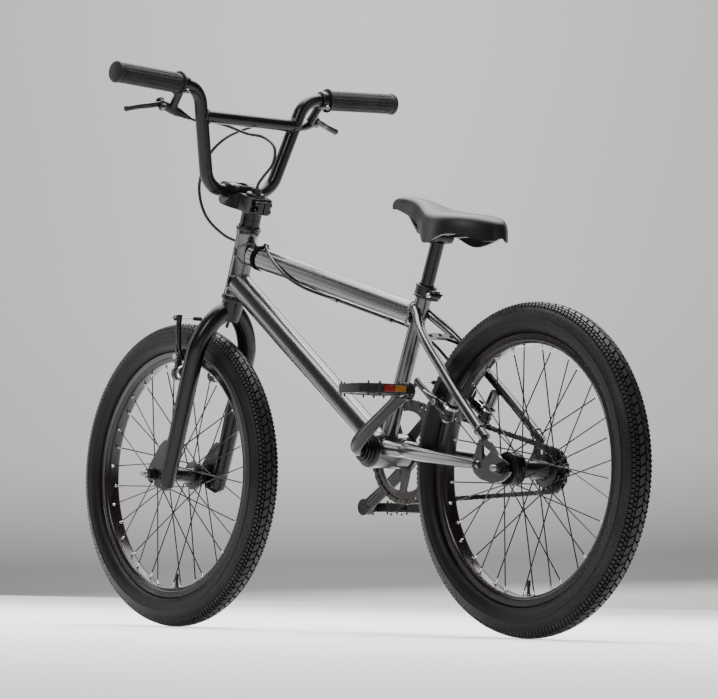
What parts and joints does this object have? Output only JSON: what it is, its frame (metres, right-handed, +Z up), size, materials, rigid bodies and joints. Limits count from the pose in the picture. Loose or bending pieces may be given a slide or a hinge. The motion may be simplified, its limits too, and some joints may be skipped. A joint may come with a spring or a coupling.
{
  "type": "bmx bike",
  "caption": "Small-wheeled freestyle bicycle with a welded frame, straight fork, one-piece crank, chain drive and rim brakes worked by two hand levers.",
  "frame": {"origin": "on the ground, in the middle plane, halfway between the two axles", "axes": "+X forward, +Y to the rider's left, +Z up"},
  "size_m": [1.421, 0.591, 0.9221],
  "materials": {
    "frame_paint": "gloss",
    "black_paint": "satin",
    "black_alloy": "satin",
    "rim_alloy": "gloss",
    "black_plastic": "matte",
    "grip_rubber": "matte",
    "tyre_rubber": "matte",
    "tube_rubber": "matte",
    "steel": "satin",
    "black_steel": "satin",
    "chain_steel": "satin",
    "cable_jacket": "satin",
    "saddle_cover": "satin"
  },
  "bodies": {
    "frame": {"head_tube": "frame_paint", "top_tube": "frame_paint", "down_tube": "frame_paint", "seat_tube": "frame_paint", "bottom_bracket_shell": "frame_paint", "chainstay_left": "frame_paint", "chainstay_right": "frame_paint", "seatstay_left": "frame_paint", "seatstay_right": "frame_paint", "headset_bearing_upper": "black_steel", "headset_bearing_lower": "black_steel", "bottom_bracket_cup_left": "black_steel", "bottom_bracket_cup_right": "black_steel", "seat_clamp": "black_alloy", "rear_axle": "steel", "rear_axle_nut_left": "black_steel", "rear_axle_nut_right": "black_steel", "chain": "chain_steel", "rear_brake_cable": "cable_jacket"},
    "steering": {"fork": "black_paint", "headset_spacer": "black_alloy", "stem": "black_alloy", "stem_cap": "black_alloy", "handlebar": "black_paint", "grip_left": "grip_rubber", "grip_right": "grip_rubber", "lever_bracket_left": "black_alloy", "lever_bracket_right": "black_alloy", "front_axle": "steel", "front_axle_nut_left": "black_steel", "front_axle_nut_right": "black_steel", "front_brake_cable": "cable_jacket"},
    "front_wheel": {"front_tyre": "tyre_rubber", "front_inner_tube": "tube_rubber", "front_rim": "rim_alloy", "front_hub": "black_alloy", "front_spokes_left": "black_steel", "front_spokes_right": "black_steel"},
    "rear_wheel": {"rear_tyre": "tyre_rubber", "rear_inner_tube": "tube_rubber", "rear_rim": "rim_alloy", "rear_hub": "black_alloy", "rear_spokes_left": "black_steel", "rear_spokes_right": "black_steel"},
    "freewheel": {"freewheel": "chain_steel"},
    "crank": {"crank": "black_paint", "chainring": "chain_steel", "pedal_axle_left": "steel", "pedal_axle_right": "steel"},
    "pedal_left": {"pedal_left": "black_plastic"},
    "pedal_right": {"pedal_right": "black_plastic"},
    "brake_lever_left": {"brake_lever_left": "black_alloy"},
    "brake_lever_right": {"brake_lever_right": "black_alloy"},
    "front_brake_arm_left": {"front_brake_arm_left": "black_alloy"},
    "front_brake_arm_right": {"front_brake_arm_right": "black_alloy"},
    "rear_brake_arm_left": {"rear_brake_arm_left": "black_alloy"},
    "rear_brake_arm_right": {"rear_brake_arm_right": "black_alloy"},
    "seat_post": {"seat_post": "black_paint"},
    "saddle": {"saddle": "saddle_cover", "saddle_rails": "black_steel"}
  },
  "joints": [
    {"name": "steering", "type": "hinge", "parent": "frame", "child": "steering", "pos_m": [0.2915, 0, 0.612], "axis": [-0.3048, 0, 0.9524], "range_deg": [-75, 75], "deforming": ["rear_brake_cable"]},
    {"name": "front_wheel_spin", "type": "hinge", "parent": "steering", "child": "front_wheel", "pos_m": [0.4525, 0, 0.258], "axis": [0, 1, 0], "continuous": true},
    {"name": "rear_wheel_spin", "type": "hinge", "parent": "frame", "child": "rear_wheel", "pos_m": [-0.4525, 0, 0.258], "axis": [0, 1, 0], "continuous": true},
    {"name": "crank_spin", "type": "hinge", "parent": "frame", "child": "crank", "pos_m": [-0.1015, 0, 0.292], "axis": [0, 1, 0], "continuous": true},
    {"name": "freewheel_spin", "type": "hinge", "parent": "frame", "child": "freewheel", "pos_m": [-0.4525, 0, 0.258], "axis": [0, 1, 0], "continuous": true},
    {"name": "pedal_left_spin", "type": "hinge", "parent": "crank", "child": "pedal_left", "pos_m": [-0.24722, 0.08, 0.37956], "axis": [0, 1, 0], "continuous": true},
    {"name": "pedal_right_spin", "type": "hinge", "parent": "crank", "child": "pedal_right", "pos_m": [0.04422, -0.08, 0.20444], "axis": [0, 1, 0], "continuous": true},
    {"name": "brake_lever_left_pull", "type": "hinge", "parent": "steering", "child": "brake_lever_left", "pos_m": [0.3055, 0.163, 0.867], "axis": [0.5886, -0.0252, 0.808], "range_deg": [0, 20], "stiffness_Nm_per_rad": 0.8, "springref_deg": -17.19},
    {"name": "brake_lever_right_pull", "type": "hinge", "parent": "steering", "child": "brake_lever_right", "pos_m": [0.3055, -0.163, 0.867], "axis": [-0.5886, -0.0252, -0.808], "range_deg": [0, 20], "stiffness_Nm_per_rad": 0.8, "springref_deg": -17.19},
    {"name": "front_brake_arm_left_close", "type": "hinge", "parent": "steering", "child": "front_brake_arm_left", "pos_m": [0.4045, 0.038, 0.428], "axis": [0.9959, 0, -0.09], "range_deg": [0, 1.7], "stiffness_Nm_per_rad": 1, "springref_deg": -8.59},
    {"name": "front_brake_arm_right_close", "type": "hinge", "parent": "steering", "child": "front_brake_arm_right", "pos_m": [0.4045, -0.038, 0.428], "axis": [-0.9959, 0, 0.09], "range_deg": [0, 1.7], "stiffness_Nm_per_rad": 1, "springref_deg": -8.59},
    {"name": "rear_brake_arm_left_close", "type": "hinge", "parent": "frame", "child": "rear_brake_arm_left", "pos_m": [-0.3015, 0.038, 0.3485], "axis": [0.538, 0, -0.843], "range_deg": [0, 1.7], "stiffness_Nm_per_rad": 1, "springref_deg": -8.59},
    {"name": "rear_brake_arm_right_close", "type": "hinge", "parent": "frame", "child": "rear_brake_arm_right", "pos_m": [-0.3015, -0.038, 0.3485], "axis": [-0.538, 0, 0.843], "range_deg": [0, 1.7], "stiffness_Nm_per_rad": 1, "springref_deg": -8.59},
    {"name": "seat_height", "type": "slide", "parent": "frame", "child": "seat_post", "axis": [-0.3452, 0, 0.9385], "range_m": [-0.045, 0.05]},
    {"name": "saddle_tilt", "type": "hinge", "parent": "seat_post", "child": "saddle", "pos_m": [-0.221, 0, 0.6285], "axis": [0, 1, 0], "range_deg": [-8, 8]}
  ],
  "couplings": [
    {"joint": "freewheel_spin", "follows": "crank_spin", "ratio": 2.5},
    {"joint": "front_brake_arm_left_close", "follows": "brake_lever_left_pull", "ratio": 0.08},
    {"joint": "front_brake_arm_right_close", "follows": "brake_lever_left_pull", "ratio": 0.08},
    {"joint": "rear_brake_arm_left_close", "follows": "brake_lever_right_pull", "ratio": 0.08},
    {"joint": "rear_brake_arm_right_close", "follows": "brake_lever_right_pull", "ratio": 0.08}
  ]
}
